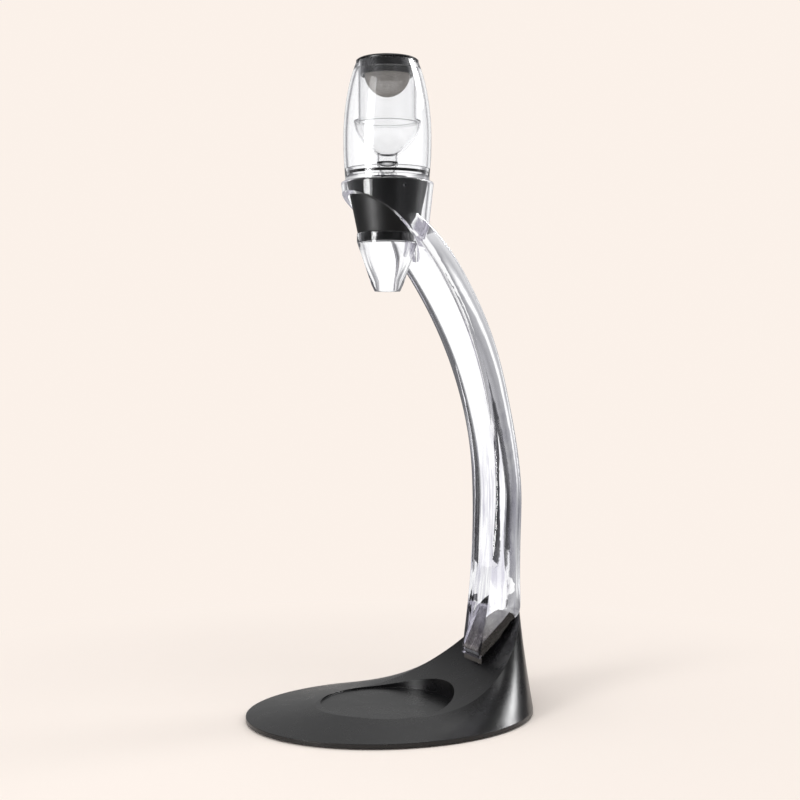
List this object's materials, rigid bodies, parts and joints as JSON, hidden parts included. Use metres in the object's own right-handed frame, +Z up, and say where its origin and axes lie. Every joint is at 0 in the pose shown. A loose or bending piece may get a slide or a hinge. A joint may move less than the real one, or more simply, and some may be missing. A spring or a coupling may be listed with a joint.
{
  "type": "wine aerator tower",
  "caption": "Arched clear arm on a swept oval base, holding a removable bullet-shaped aerator with a lift-out strainer over a round glass recess.",
  "frame": {"origin": "on the table under the middle of the base outline, where the rubber feet stand", "axes": "+Z up, +Y from the glass towards the arm, X across the part"},
  "size_m": [0.153, 0.18, 0.4016],
  "materials": {
    "base_black": "fine matte",
    "cover_black": "matte",
    "cap_black": "satin gloss",
    "arm_clear": "polished clear",
    "bulb_clear": "polished clear",
    "inner_clear": "polished clear",
    "nozzle_clear": "polished clear, faint lavender",
    "grip_black": "soft-touch matte",
    "seal_black": "smooth",
    "foot_rubber": "matte",
    "mesh_steel": "fine woven mesh",
    "plate_steel": "plain",
    "screw_steel": "bright zinc",
    "anchor_steel": "zinc plated"
  },
  "bodies": {
    "tower": {"base_shell": "base_black", "bottom_cover": "cover_black", "ballast": "plate_steel", "ballast_screws": "screw_steel", "cover_screws": "screw_steel", "rubber_feet": "foot_rubber", "arm": "arm_clear", "arm_gasket": "seal_black", "arm_anchor": "anchor_steel", "arm_dowel": "screw_steel", "arm_screws": "screw_steel", "arm_washers": "screw_steel"},
    "aerator": {"outer_shell": "bulb_clear", "inner_chamber": "inner_clear", "neck_seal": "seal_black", "venturi": "inner_clear", "air_tubes": "inner_clear", "lower_body": "inner_clear", "shell_seal": "seal_black", "grip_sleeve": "grip_black", "nozzle_ring": "seal_black", "nozzle": "nozzle_clear"},
    "strainer": {"strainer_rim": "cap_black", "strainer_mesh": "mesh_steel", "mesh_ring": "cap_black"}
  },
  "joints": [
    {"name": "aerator_lift", "type": "slide", "parent": "tower", "child": "aerator", "axis": [0, 0, 1], "range_m": [0, 0.075]},
    {"name": "strainer_lift", "type": "slide", "parent": "aerator", "child": "strainer", "axis": [0, 0, 1], "range_m": [0, 0.04]}
  ]
}
